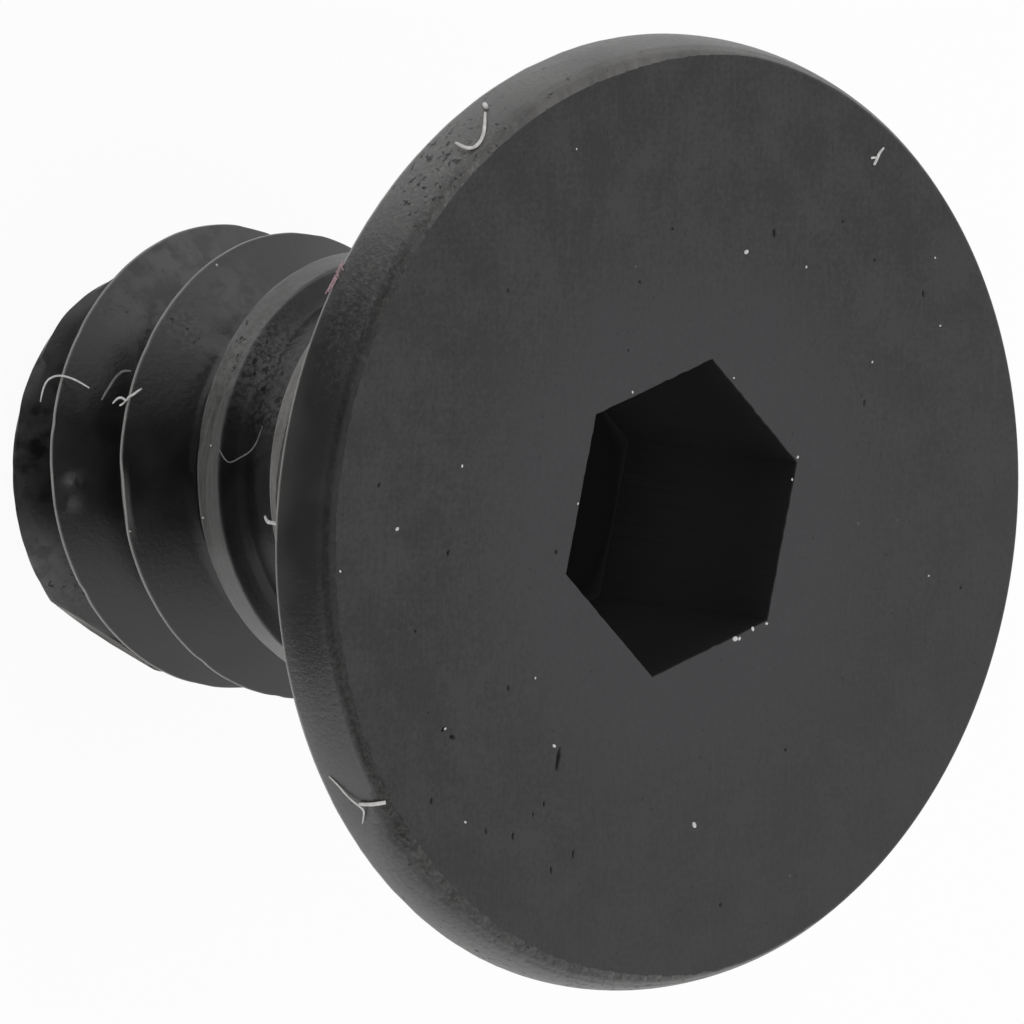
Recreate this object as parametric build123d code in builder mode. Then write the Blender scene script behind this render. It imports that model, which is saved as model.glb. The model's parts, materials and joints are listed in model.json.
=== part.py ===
from build123d import *
import os
from math import ceil, cos, radians, sin, tan

# Flat countersunk head socket cap screw, #6-32 x 1/4 in, one solid of steel.
# It stands on its flat point: the screw's axis is Z with the head up, and the origin
# is at the centre of the flat point. +X runs through one corner of the hex socket.

# ---- driving dimensions, in millimetres and degrees ----
overall_length = 6.10            # face to point: 1/4 in less the tolerance on length
head_diameter = 6.88             # widest part of the head, at the rim's lower edge
rim_height = 0.47                # face down to the lower edge of the rim
rim_taper = 0.085                # how much nearer the axis the rim's upper edge is
rim_bulge = 0.022                # how far the rim swells out between its two edges
face_edge_radius = 0.08          # rounding between the rim and the face
countersink_angle = 82.0         # included angle of the cone under the head

thread_diameter = 3.42           # over the crests
thread_pitch = 0.79375           # 32 turns to the inch; one start, right hand
thread_angle = 60.0              # included angle of the thread's two flanks
thread_depth = 0.475             # from the crests in to the bottom of the groove
crest_width = 0.045              # flat left along the top of a full crest
first_crest_height = 0.729       # middle of the first whole crest, where it passes +X

neck_thinning = 0.16             # how far the shank under the head falls short of the crests
neck_groove_rise = 0.155         # how far the groove's bottom rises towards the head
neck_length = 3.95               # from the face down to where full crests begin
neck_taper_length = 0.50         # the crests lose their height over this length

point_flat_diameter = 1.83       # flat end that the screw stands on
point_slope = 34.5               # rise of the chamfer round the point
flat_spot_depth = 0.19           # how far in a knock has flattened the first crest
flat_spot_angle = 222.8          # which way it faces, round from +X
flat_spot_height = 0.85          # how far up from the point it reaches

socket_across_flats = 2.00
socket_depth = 1.80              # from the face to the end of the hex's flat sides
socket_floor_angle = 120.0       # included angle of the cone below them

# ---- sizes worked out from them ----
head_radius = head_diameter / 2
thread_radius = thread_diameter / 2
root_radius = thread_radius - thread_depth
neck_radius = thread_radius - neck_thinning
neck_root_radius = root_radius + neck_groove_rise
point_flat_radius = point_flat_diameter / 2
flat_spot_distance = thread_radius - flat_spot_depth

rim_lower = overall_length - rim_height
rim_upper = overall_length - face_edge_radius
rim_upper_radius = head_radius - rim_taper
rim_middle_radius = head_radius - rim_taper / 2 + rim_bulge
face_flat_radius = rim_upper_radius - face_edge_radius

cone_slope = tan(radians(countersink_angle / 2))
cone_foot = rim_lower - (head_radius - neck_radius) / cone_slope

neck_taper_start = overall_length - neck_length
neck_start = neck_taper_start + neck_taper_length

chamfer_rise = tan(radians(point_slope))
root_chamfer_top = (root_radius - point_flat_radius) * chamfer_rise
crest_chamfer_top = (thread_radius - point_flat_radius) * chamfer_rise

flank_slope = tan(radians(thread_angle / 2))
ridge_top = thread_radius + crest_width / 4 / flank_slope   # half way up to the sharp V
ridge_foot = root_radius - crest_width                      # sunk in the core


def ridge_half_width(radius):
    """Half of the ridge's width along the axis, at one radius."""
    return crest_width / 2 + (thread_radius - radius) * flank_slope


# the ridge starts wholly outside the point's chamfer, and ends wholly inside the head's cone
foot_chamfer_top = (ridge_foot - point_flat_radius) * chamfer_rise
ridge_lead = first_crest_height + ridge_half_width(ridge_foot) - foot_chamfer_top
ridge_start = first_crest_height - ceil(ridge_lead / thread_pitch) * thread_pitch
ridge_turns = ceil((cone_foot + thread_pitch / 2 - ridge_start) / thread_pitch)

# ---- head, neck and core of the thread: all that is round about the axis ----
with BuildPart() as core:
    with BuildSketch(Plane.YZ):
        with BuildLine():
            under = Polyline(
                (0, overall_length),
                (0, 0),
                (point_flat_radius, 0),
                (root_radius, root_chamfer_top),
                (root_radius, neck_taper_start),
                (neck_root_radius, neck_start),
                (neck_root_radius, cone_foot - (neck_radius - neck_root_radius)),
                (neck_radius, cone_foot),
                (head_radius, rim_lower),
            )
            rim = ThreePointArc(
                under @ 1,
                (rim_middle_radius, (rim_lower + rim_upper) / 2),
                (rim_upper_radius, rim_upper),
            )
            face_edge = RadiusArc(rim @ 1, (face_flat_radius, overall_length), -face_edge_radius)
            Line(face_edge @ 1, under @ 0)
        make_face()
    revolve(axis=Axis.Z)

# ---- one turn of the thread's ridge, swept up its helix ----
with BuildPart() as ridge_turn:
    with BuildLine():
        Helix(thread_pitch, thread_pitch, root_radius, center=(0, 0, ridge_start))
    with BuildSketch(Plane.XZ):
        with BuildLine():
            Polyline(
                (ridge_foot, ridge_start - ridge_half_width(ridge_foot)),
                (ridge_top, ridge_start - ridge_half_width(ridge_top)),
                (ridge_top, ridge_start + ridge_half_width(ridge_top)),
                (ridge_foot, ridge_start + ridge_half_width(ridge_foot)),
                close=True,
            )
        make_face()
    sweep(is_frenet=True)

# ---- the shape that the crests fill: chamfered point, full thread, thinner neck ----
with BuildPart() as crest_limit:
    with BuildSketch(Plane.YZ):
        with BuildLine():
            Polyline(
                (0, 0),
                (point_flat_radius, 0),
                (thread_radius, crest_chamfer_top),
                (thread_radius, neck_taper_start),
                (neck_radius, neck_start),
                (neck_radius, rim_lower),
                (0, rim_lower),
                close=True,
            )
        make_face()
    revolve(axis=Axis.Z)

thread_turns = []
for turn in range(ridge_turns):
    with BuildPart() as thread_turn:
        with Locations((0, 0, turn * thread_pitch)):
            add(ridge_turn.part)
        add(crest_limit.part, mode=Mode.INTERSECT)
    thread_turns.append(thread_turn.part)

# ---- the whole screw ----
with BuildPart() as screw:
    add(core.part)
    add(thread_turns)
    with BuildSketch(Plane.XY.offset(overall_length)):
        RegularPolygon(socket_across_flats / 2, 6, major_radius=False)
    extrude(amount=-socket_depth, mode=Mode.SUBTRACT)
    socket_floor_depth = socket_across_flats / 2 / tan(radians(socket_floor_angle / 2))
    with Locations((0, 0, overall_length - socket_depth - socket_floor_depth / 2)):
        Cone(0, socket_across_flats / 2, socket_floor_depth, mode=Mode.SUBTRACT)

    facing = Vector(cos(radians(flat_spot_angle)), sin(radians(flat_spot_angle)), 0)
    with BuildSketch(Plane(origin=facing * flat_spot_distance, z_dir=facing)):
        Rectangle(thread_diameter, 2 * flat_spot_height)
    extrude(amount=thread_radius, mode=Mode.SUBTRACT)

screw.part.label = "screw"
os.makedirs("parts", exist_ok=True)
export_step(screw.part, "parts/screw.step")
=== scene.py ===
# %% [markdown]
# # A short countersunk screw in black oxide
#
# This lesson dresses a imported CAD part: a flat head screw, a quarter of an inch
# long, with a hex socket. The real one is rolled and forged from steel wire, then
# blackened in a hot salt bath. The CAD part gives the exact sizes. Here the same
# screw is modelled again with what a CAD solid leaves out: edges worn round, a
# skin with grain, scratches and pits, and the lint that clings to it.
#
# We load the CAD part first, because it is the frame that everything is built on.

# %% Load the frame
import json
import math

import bpy
import bmesh
import numpy as np
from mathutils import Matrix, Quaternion, Vector, noise

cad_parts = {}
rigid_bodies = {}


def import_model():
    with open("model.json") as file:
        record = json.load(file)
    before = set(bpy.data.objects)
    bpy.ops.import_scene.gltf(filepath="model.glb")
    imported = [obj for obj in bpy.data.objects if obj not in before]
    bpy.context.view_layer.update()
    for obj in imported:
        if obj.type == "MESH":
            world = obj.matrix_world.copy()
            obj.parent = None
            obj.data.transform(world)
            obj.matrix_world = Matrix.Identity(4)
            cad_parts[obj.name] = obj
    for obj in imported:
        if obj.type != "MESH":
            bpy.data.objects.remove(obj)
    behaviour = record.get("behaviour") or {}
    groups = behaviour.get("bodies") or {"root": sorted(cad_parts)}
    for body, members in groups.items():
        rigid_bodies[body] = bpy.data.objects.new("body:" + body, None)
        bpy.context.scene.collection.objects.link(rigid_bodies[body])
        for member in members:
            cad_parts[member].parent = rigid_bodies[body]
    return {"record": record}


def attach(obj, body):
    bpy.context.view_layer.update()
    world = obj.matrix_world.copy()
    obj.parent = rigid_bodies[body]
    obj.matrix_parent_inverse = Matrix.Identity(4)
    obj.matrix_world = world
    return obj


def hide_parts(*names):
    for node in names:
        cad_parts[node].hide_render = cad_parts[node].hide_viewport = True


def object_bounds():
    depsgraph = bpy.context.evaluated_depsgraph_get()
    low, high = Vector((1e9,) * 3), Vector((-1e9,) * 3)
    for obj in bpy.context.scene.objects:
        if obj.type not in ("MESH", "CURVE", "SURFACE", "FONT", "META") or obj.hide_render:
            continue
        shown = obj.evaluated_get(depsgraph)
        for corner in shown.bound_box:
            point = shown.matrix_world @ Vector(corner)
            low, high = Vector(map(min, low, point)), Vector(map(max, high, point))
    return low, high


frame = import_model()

cad_low, cad_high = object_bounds()


def in_mm(corner):
    """A corner of a box, rounded for printing."""
    return [round(v * 1000, 3) for v in corner]


print("CAD box from", in_mm(cad_low), "to", in_mm(cad_high), "mm")

# %% [markdown]
# ## The sizes
#
# The frame stands on the floor: Z is the screw's axis, the point is at zero and
# the face is on top. The frame gives the length, the head's width and the height
# of the rim's lower edge. The other sizes are those of the CAD part, but the rim
# leans and rounds a little less, and the crests are a little narrower. We think
# in millimetres, and the helpers turn them into Blender's metres. The face is
# left eight micrometres low, so that the dust that lies on it still ends inside
# the CAD part's box.

# %% The screw's sizes, in millimetres
mount_heights = {m["name"]: m["pos_m"][2] * 1000 for m in frame["record"]["mounts"]}
dust_room = 0.008
face_height = mount_heights["head_face"] - dust_room
rim_lower = mount_heights["countersink_cone"]
head_radius = max(-cad_low.x, -cad_low.y, cad_high.x, cad_high.y) * 1000
box_x = min(-cad_low.x, cad_high.x) * 1000
box_y = min(-cad_low.y, cad_high.y) * 1000

rim_taper = 0.070
rim_bulge = 0.026
face_edge_radius = 0.055
thread_radius = 1.71
groove_radius = 1.235
pitch = 25.4 / 32
first_crest_height = 0.729
crest_width = 0.026
neck_radius = 1.55
neck_groove_radius = 1.39
neck_taper_from, neck_taper_to = 2.15, 2.65
point_radius = 0.915
point_slope = math.tan(math.radians(34.5))
cone_slope = math.tan(math.radians(41))
cone_foot = rim_lower - (head_radius - neck_radius) / cone_slope
socket_apothem = 1.0
socket_depth = 1.8
socket_floor_dip = socket_apothem / math.tan(math.radians(60))
print("head", round(2 * head_radius, 3), "mm wide, face", round(face_height, 3), "mm up")
print("the cone starts", round(cone_foot, 3), "mm up")

# %% [markdown]
# ## The camera
#
# A screw this small is best looked at through a long lens, from about a hand's
# width away. The camera looks down on the face, from the side, and it is rolled on
# its side, so that the screw's axis lies across the view. We give its place, the
# point it aims at, its roll and its lens.

# %% Camera
camera_place = Vector((-61.67, 30.03, 80.24)) / 1000
camera_aim = Vector((-1.529, 0.610, 6.10)) / 1000
camera_roll = math.radians(97.83)

camera_data = bpy.data.cameras.new("camera")
camera_data.lens = 496.5
camera_data.clip_start, camera_data.clip_end = 0.005, 10
camera = bpy.data.objects.new("camera", camera_data)
bpy.context.scene.collection.objects.link(camera)
camera.rotation_mode = "QUATERNION"
camera.location = camera_place
sight_line = camera_aim - camera_place
camera.rotation_quaternion = sight_line.to_track_quat("-Z", "Y") @ Quaternion((0, 0, 1), camera_roll)
bpy.context.scene.camera = camera
print("camera", round(sight_line.length * 1000), "mm away")

# %% [markdown]
# ## Small helpers for modelling
#
# Operators act on whatever is selected, so each step starts from nothing
# selected. The first helpers open a new mesh for editing, and draw an outline by
# extruding one vertex after another, as by hand. Two more read all the points of
# a mesh as distance, angle and height, and put them back, because a screw is
# easier to think of round its axis.

# %% Helpers for edit mode
def start_mesh(name):
    """A new object in edit mode with a single vertex at the origin, selected."""
    bpy.ops.object.select_all(action="DESELECT")
    bpy.ops.mesh.primitive_plane_add(size=0.001, location=(0, 0, 0))
    piece = bpy.context.object
    piece.name = piece.data.name = name
    bpy.ops.object.mode_set(mode="EDIT")
    bpy.ops.mesh.select_mode(type="VERT")
    bpy.ops.mesh.merge(type="CENTER")
    return piece


def to_point(piece, radius, height):
    """Moves the selected vertex to a distance from the axis and a height, in millimetres."""
    mesh = bmesh.from_edit_mesh(piece.data)
    here = next(v.co for v in mesh.verts if v.select)
    bpy.ops.transform.translate(value=(radius / 1000 - here.x, -here.y, height / 1000 - here.z))


def draw_to(piece, radius, height, cuts=0):
    """Extrudes the selected vertex to a new point, and cuts the new edge into equal parts."""
    mesh = bmesh.from_edit_mesh(piece.data)
    here = next(v.co.copy() for v in mesh.verts if v.select)
    there = Vector((radius, 0, height)) / 1000
    bpy.ops.mesh.extrude_vertices_move(TRANSFORM_OT_translate={"value": there - here})
    if cuts:
        bpy.ops.mesh.select_more()
        bpy.ops.mesh.select_mode(type="EDGE")
        mesh = bmesh.from_edit_mesh(piece.data)
        for edge in mesh.edges:
            ends = {tuple(round(c, 8) for c in v.co) for v in edge.verts}
            wanted = {tuple(round(c, 8) for c in here), tuple(round(c, 8) for c in there)}
            edge.select_set(ends == wanted)
        bmesh.update_edit_mesh(piece.data)
        bpy.ops.mesh.subdivide(number_cuts=cuts)
        bpy.ops.mesh.select_mode(type="VERT")
        mesh = bmesh.from_edit_mesh(piece.data)
        for vert in mesh.verts:
            vert.select_set((vert.co - there).length < 1e-7)
        bmesh.update_edit_mesh(piece.data)


print("an outline is drawn point by point")

# %% Helpers for shaping by formula
def read_points(piece):
    """The mesh's vertices as distance from the axis, angle and height: millimetres and radians."""
    flat = np.empty(len(piece.data.vertices) * 3)
    piece.data.vertices.foreach_get("co", flat)
    x, y, z = flat.reshape(-1, 3).T * 1000
    return np.hypot(x, y), np.arctan2(y, x) % (2 * math.pi), z


def write_points(piece, radius, angle, height):
    """Puts the vertices back after they have been shaped."""
    points = np.stack([radius * np.cos(angle), radius * np.sin(angle), height], axis=1) / 1000
    piece.data.vertices.foreach_set("co", points.ravel())
    piece.data.update()


print("a mesh is shaped by the distance, angle and height of its points")

# %% [markdown]
# ## The head
#
# The real head is struck between two dies, and it is round but for the socket.
# So we draw half of its outline, from the neck up the cone, over the rim, across
# the face and down into the socket, and spin it once round the axis.

# %% Draw half of the head's outline
columns = 240
rim_height = face_height - rim_lower
face_radius = head_radius - rim_taper - face_edge_radius
socket_floor = face_height - socket_depth
mouth_break = 0.006

head = start_mesh("head")
to_point(head, neck_radius, cone_foot)
draw_to(head, head_radius - 0.03, rim_lower - 0.03 / cone_slope, cuts=24)
draw_to(head, head_radius, rim_lower, cuts=3)
draw_to(head, head_radius - rim_taper, face_height - face_edge_radius, cuts=15)
draw_to(head, face_radius, face_height, cuts=7)
draw_to(head, face_radius - 0.06, face_height, cuts=5)
draw_to(head, socket_apothem + mouth_break, face_height, cuts=38)
draw_to(head, socket_apothem, face_height - mouth_break, cuts=1)
draw_to(head, socket_apothem, face_height - 0.03)
draw_to(head, socket_apothem, socket_floor, cuts=11)
draw_to(head, socket_apothem - 0.02, socket_floor - 0.01)
draw_to(head, 0, socket_floor - socket_floor_dip, cuts=6)
print("outline of", len(bmesh.from_edit_mesh(head.data).verts), "points")

# %% Spin the outline round the axis
def spin_round(piece):
    """Spins the outline once round, sews it shut and leaves edit mode."""
    bpy.ops.mesh.select_all(action="SELECT")
    bpy.ops.mesh.spin(steps=columns, angle=2 * math.pi, center=(0, 0, 0), axis=(0, 0, 1))
    bpy.ops.mesh.select_all(action="SELECT")
    bpy.ops.mesh.remove_doubles(threshold=1e-7)
    bpy.ops.object.mode_set(mode="OBJECT")


spin_round(head)
print("head of", len(head.data.polygons), "faces")

# %% [markdown]
# ## Broaching the socket
#
# The hexagon is pressed into the head: each ring of the round hole is moved out
# along its ray until it lies on the hexagon. The face's rings change step by step
# from the hexagon to the head's circle. The rim gets its slight bulge, and its
# upper edge is rounded.

# %% Broach the socket
def hexagon(angle):
    """How much further out a hexagon is than the circle inside it, with a corner on +X."""
    return 1 / np.cos(angle % (math.pi / 3) - math.pi / 6)


radius, angle, height = read_points(head)
in_socket = (radius < socket_apothem + mouth_break + 0.001) & (height > socket_floor - 0.001)
on_face = (height > face_height - 1e-4) & (radius < face_radius) & ~in_socket
ease = np.clip((face_radius - radius) / (face_radius - socket_apothem), 0, 1)
ease[in_socket] = 1
shaped = in_socket | on_face
radius[shaped] *= 1 + ease[shaped] * (hexagon(angle[shaped]) - 1)
print("hexagon pressed into", int(in_socket.sum()), "points")

# %% Shape the rim
rim_rise = np.clip((height - rim_lower) / (rim_height - face_edge_radius), 0, 1)
on_rim = (height > rim_lower - 1e-4) & (radius > 3)
radius[on_rim] += rim_bulge * 4 * rim_rise[on_rim] * (1 - rim_rise[on_rim])
rim_lean = (rim_taper + 4 * rim_bulge) / (rim_height - face_edge_radius)
edge = (height > face_height - face_edge_radius) & (radius > face_radius + 1e-4)
share = (height[edge] - face_height + face_edge_radius) / face_edge_radius
corner_radius = head_radius - rim_taper - face_edge_radius * rim_lean
radius[edge] = ((1 - share) ** 2 * (head_radius - rim_taper)
                + 2 * share * (1 - share) * corner_radius + share ** 2 * face_radius)
height[edge] = face_height - face_edge_radius * (1 - share) ** 2
print("rim", round(rim_height, 3), "mm tall")

# %% Leave the small unevenness of real edges
def waver(angle, waves, seed=0):
    """Smooth random numbers round the axis, from about -1 to 1, without a seam."""
    places = zip(np.cos(angle) * waves, np.sin(angle) * waves)
    return np.array([noise.noise(Vector((x, y, seed))) * 1.6 for x, y in places])


mouth = (radius < socket_apothem * 1.2) & (height > face_height - 0.031)
radius[mouth] += 0.004 * waver(angle[mouth], 14)
lower_edge = np.abs(height - rim_lower) < 0.012
radius[lower_edge & on_rim] -= 0.005 * np.abs(waver(angle[lower_edge & on_rim], 22, seed=5))
falls_from = 2.5
fall = np.clip((radius - falls_from) / (face_radius - falls_from), 0, None)
upper = height > face_height - face_edge_radius
height[upper] -= 0.012 * fall[upper] ** 2
room_x = box_x / np.maximum(np.abs(np.cos(angle)), 1e-6)
room_y = box_y / np.maximum(np.abs(np.sin(angle)), 1e-6)
write_points(head, np.minimum(radius, np.minimum(room_x, room_y)), angle, height)
print("socket", round(2 * socket_apothem, 2), "mm across flats")

# %% [markdown]
# ## The thread
#
# A thread is one tooth that winds up the shank. Blender's Screw modifier winds
# an outline up in that way: here a plain upright line, one pitch tall. The line
# has its points where the tooth has its edges, so the rows of the finished mesh
# run along the crests and the grooves, and the edges stay crisp.

# %% Draw the line for one pitch
tooth_rows = [0.008, 0.0140, 0.0190, 0.0245, 0.033, 0.045, 0.060, 0.076, 0.090, 0.099,
              0.106, 0.113, 0.122, 0.140, 0.168, 0.200, 0.230, 0.258, 0.282, 0.305,
              0.330, 0.362]
tooth_heights = [-row for row in reversed(tooth_rows)] + [0] + tooth_rows + [pitch / 2]
lowest_crest = first_crest_height - 2 * pitch

shank = start_mesh("shank")
to_point(shank, thread_radius, lowest_crest - pitch / 2)
for tooth_height in tooth_heights:
    draw_to(shank, thread_radius, lowest_crest + tooth_height)
bpy.ops.object.mode_set(mode="OBJECT")
print("line of", len(shank.data.vertices), "points")

# %% Wind it up the shank and trim both ends
def bisect_level(level, **keep):
    """Cuts the mesh in edit mode with a level plane and clears one side."""
    bpy.ops.mesh.select_all(action="SELECT")
    bpy.ops.mesh.bisect(plane_co=(0, 0, level / 1000), plane_no=(0, 0, 1), threshold=1e-9, **keep)


winding = shank.modifiers.new("winding", "SCREW")
winding.axis = "Z"
winding.angle = 2 * math.pi
winding.screw_offset = pitch / 1000
winding.iterations = 6
winding.steps = winding.render_steps = columns
bpy.ops.object.modifier_apply(modifier="winding")
shank_top = cone_foot - 0.012
bpy.ops.object.mode_set(mode="EDIT")
bpy.ops.mesh.select_all(action="SELECT")
bpy.ops.mesh.remove_doubles(threshold=1e-7)
bisect_level(0, clear_inner=True)
bisect_level(shank_top, clear_outer=True)
bpy.ops.object.mode_set(mode="OBJECT")
print("shank of", len(shank.data.polygons), "faces")

# %% [markdown]
# The real thread is rolled: two dies press the groove into a round blank. Here
# each vertex of the shank moves in or out to where the dies would leave it: on
# the core or on the ridge, whichever is higher, but not outside the envelope,
# which is the chamfered point, the full crests and then the thinner neck. Where
# two of these meet, a soft minimum or maximum rounds the edge, as wear does.

# %% Roll the thread
crest_softness = 0.008
groove_softness = 0.04
flank_slope = math.tan(math.radians(30))
crest_chamfer = (thread_radius - point_radius) * point_slope
flat_spot_distance = 1.52
flat_spot_angle = math.radians(222.8)
flat_spot_top = 0.95


def soft_min(a, b, softness):
    """The smaller of two, rounded where they cross."""
    share = np.clip(0.5 + 0.5 * (b - a) / softness, 0, 1)
    return b + (a - b) * share - softness * share * (1 - share)


def soft_max(a, b, softness):
    """The larger of two, rounded where they cross."""
    return -soft_min(-a, -b, softness)


def from_crest(angle, height):
    """How far a place on the shank is from the nearest turn of the crest, along the axis."""
    climb = height - first_crest_height - angle / (2 * math.pi) * pitch
    return climb - np.round(climb / pitch) * pitch


def along_crest(angle, height):
    """How far along the crest's helix a place is, in degrees from its first pass over +X."""
    climb = height - first_crest_height - angle / (2 * math.pi) * pitch
    return np.round(climb / pitch) * 360 + np.degrees(angle)


def crest_envelope(angle, height):
    """What the crests fill: the chamfered point, the full thread, then the thinner neck."""
    envelope = np.interp(height, [0, crest_chamfer, neck_taper_from, neck_taper_to],
                         [point_radius, thread_radius, thread_radius, neck_radius])
    flat_spot = flat_spot_distance / np.maximum(np.cos(angle - flat_spot_angle), 0.01)
    return np.where(height < flat_spot_top, soft_min(envelope, flat_spot, crest_softness), envelope)


def thread_surface(angle, height):
    """The rolled shank's distance from the axis."""
    ridge = thread_radius - (np.abs(from_crest(angle, height)) - crest_width / 2) / flank_slope
    core = np.interp(height, [neck_taper_from, neck_taper_to, cone_foot - 0.16, cone_foot],
                     [groove_radius, neck_groove_radius, neck_groove_radius, neck_radius])
    envelope = crest_envelope(angle, height) - knocks(along_crest(angle, height))
    return soft_min(envelope, soft_max(core, ridge, groove_softness), crest_softness)


print("full crests from", round(crest_chamfer, 3), "to", neck_taper_from, "mm up")

# %% Knock the crests
# Each knock: the place along the helix, its half width in degrees, its depth.
crest_knocks = [
    (60, 4, 0.007), (128, 2, 0.005), (152, 1.6, 0.008), (167, 4, 0.004), (196, 2, 0.010),
    (240, 3, 0.004), (310, 5, 0.006), (330, 2, 0.009), (395, 3, 0.007), (425, 4, 0.005),
    (489, 1.6, 0.008), (503, 2, 0.006), (527.5, 7.5, 0.020), (577, 2, 0.008), (602, 2, 0.007),
    (690, 4, 0.006), (760, 3, 0.005), (850, 5, 0.006), (872, 2, 0.008), (935, 4, 0.005)]


def knocks(along):
    """How far the crest is worn or knocked down, at each place along its helix."""
    down = 0.0018 * (1 + waver(np.radians(along), 9, seed=2))
    for place, half_width, depth in crest_knocks:
        down += depth * np.exp(-((along - place) / half_width) ** 4)
    return down


radius, angle, height = read_points(shank)
write_points(shank, thread_surface(angle, height), angle, height)
print("rolled", len(radius), "vertices, with", len(crest_knocks), "knocks in the crests")

# %% [markdown]
# The point is closed by drawing its edge in to the middle. Then the shank and
# the head become one mesh, and a bridge of faces joins them where the neck runs
# into the cone.

# %% Close the point and join the head
def select_level_rim(piece, low, high):
    """Selects the open edges between two heights, in edit mode."""
    bpy.ops.mesh.select_all(action="DESELECT")
    bpy.ops.mesh.select_mode(type="EDGE")
    mesh = bmesh.from_edit_mesh(piece.data)
    for edge in mesh.edges:
        if edge.is_boundary and all(low <= v.co.z * 1000 <= high for v in edge.verts):
            edge.select_set(True)
    bmesh.update_edit_mesh(piece.data)


bpy.ops.object.select_all(action="DESELECT")
shank.select_set(True)
bpy.context.view_layer.objects.active = shank
bpy.ops.object.mode_set(mode="EDIT")
select_level_rim(shank, -0.001, 0.001)
for shrink in (0.97, 0.85, 0.75, 0.6, 0.4):
    bpy.ops.mesh.extrude_edges_move()
    bpy.ops.transform.resize(value=(shrink, shrink, 1), center_override=(0, 0, 0))
bpy.ops.mesh.merge(type="CENTER")
bpy.ops.object.mode_set(mode="OBJECT")

head.select_set(True)
bpy.ops.object.join()
screw = bpy.context.object
screw.name = screw.data.name = "screw_dressed"
bpy.ops.object.mode_set(mode="EDIT")
select_level_rim(screw, shank_top - 0.001, cone_foot + 0.001)
bpy.ops.mesh.bridge_edge_loops()
bpy.ops.mesh.select_mode(type="VERT")
bpy.ops.mesh.select_all(action="SELECT")
bpy.ops.mesh.normals_make_consistent(inside=False)
open_edges = sum(not e.is_manifold for e in bmesh.from_edit_mesh(screw.data).edges)
bpy.ops.object.mode_set(mode="OBJECT")
bpy.ops.object.shade_smooth_by_angle(angle=math.radians(40))
triangles = sum(len(f.vertices) - 2 for f in screw.data.polygons)
print("screw of", triangles, "triangles,", open_edges, "open edges")

# %% [markdown]
# ## Pits and a gouge
#
# The face has a few pits and one short gouge, each up to three hundredths of a
# millimetre wide. They are real hollows, so they go into the mesh. The face has
# too few points to hold one, so the faces round each mark are subdivided first,
# and then the points inside the mark are pressed down. The rounded edge is cut
# finer too, because two finishes will meet there, along the edges of its faces.

# %% Choose the marks on the face
# Each mark: distance from the axis, angle, half width, half length, the way it runs, depth.
gouge = (2.02, 218.3, 0.016, 0.085, 62, 0.016)
pits = [(2.176, 50.4, 0.012, 0.034, 74, 0.012), (2.634, 194.5, 0.012, 0.022, 30, 0.012),
        (2.591, 196.6, 0.016, 0.028, 140, 0.014), (2.232, 166.1, 0.012, 0.020, 60, 0.012),
        (2.913, 155.2, 0.010, 0.020, 60, 0.010), (1.221, 171.2, 0.012, 0.018, 80, 0.010),
        (2.685, 217.3, 0.010, 0.030, 66, 0.010), (2.552, 230.2, 0.009, 0.030, 62, 0.012),
        (2.729, 227.0, 0.009, 0.026, 74, 0.012), (2.350, 220.1, 0.009, 0.022, 74, 0.010),
        (2.461, 218.9, 0.007, 0.018, 74, 0.008), (2.802, 212.4, 0.008, 0.026, 74, 0.008),
        (1.983, 197.3, 0.010, 0.022, 75, 0.008), (2.999, 201.7, 0.011, 0.024, 74, 0.010),
        (2.764, 15.9, 0.009, 0.026, 75, 0.010), (1.906, 5.7, 0.008, 0.028, 70, 0.008),
        (2.86, 262.0, 0.009, 0.018, 74, 0.010), (2.42, 118.0, 0.008, 0.018, 60, 0.008)]
marks = [gouge] + pits


def on_face_at(distance, degrees):
    """A place on the face, in millimetres."""
    turn = math.radians(degrees)
    return Vector((distance * math.cos(turn), distance * math.sin(turn), face_height))


print("marks on the face:", len(marks))

# %% Cut the rounded edge finer
bpy.ops.object.mode_set(mode="EDIT")
bpy.ops.mesh.select_all(action="DESELECT")
bpy.ops.mesh.select_mode(type="FACE")
mesh = bmesh.from_edit_mesh(screw.data)
for face in mesh.faces:
    middle = face.calc_center_median() * 1000
    face.select_set(middle.z > face_height - 0.045 and middle.xy.length > face_radius - 0.06)
bmesh.update_edit_mesh(screw.data)
bpy.ops.mesh.subdivide(number_cuts=1)
print("rounded edge cut finer:", len(bmesh.from_edit_mesh(screw.data).faces), "faces")

# %% Subdivide round each mark
bpy.ops.mesh.select_all(action="DESELECT")
mesh = bmesh.from_edit_mesh(screw.data)
for face in mesh.faces:
    middle = face.calc_center_median() * 1000
    if middle.z > face_height - 0.02 and middle.xy.length > socket_apothem + 0.04:
        for distance, degrees, half_width, half_length, run, depth in marks:
            if (middle - on_face_at(distance, degrees)).length < half_length + 0.035:
                face.select_set(True)
bmesh.update_edit_mesh(screw.data)
bpy.ops.mesh.subdivide(number_cuts=7)
bpy.ops.object.mode_set(mode="OBJECT")
print("screw of", len(screw.data.vertices), "vertices")

# %% Press the marks in
def depth_share(piece_points, mark):
    """How deep each point lies in a mark: one in its middle, zero outside it."""
    distance, degrees, half_width, half_length, run, depth = mark
    place = on_face_at(distance, degrees)
    run = math.radians(run)
    x, y = piece_points[:, 0] - place.x, piece_points[:, 1] - place.y
    along = (x * math.cos(run) + y * math.sin(run)) / half_length
    across = (y * math.cos(run) - x * math.sin(run)) / half_width
    ragged = 1 + 0.25 * np.sin(5 * np.arctan2(across, along) + degrees)
    return np.clip(1.3 - (along ** 2 + across ** 2) * ragged, 0, 1)


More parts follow.
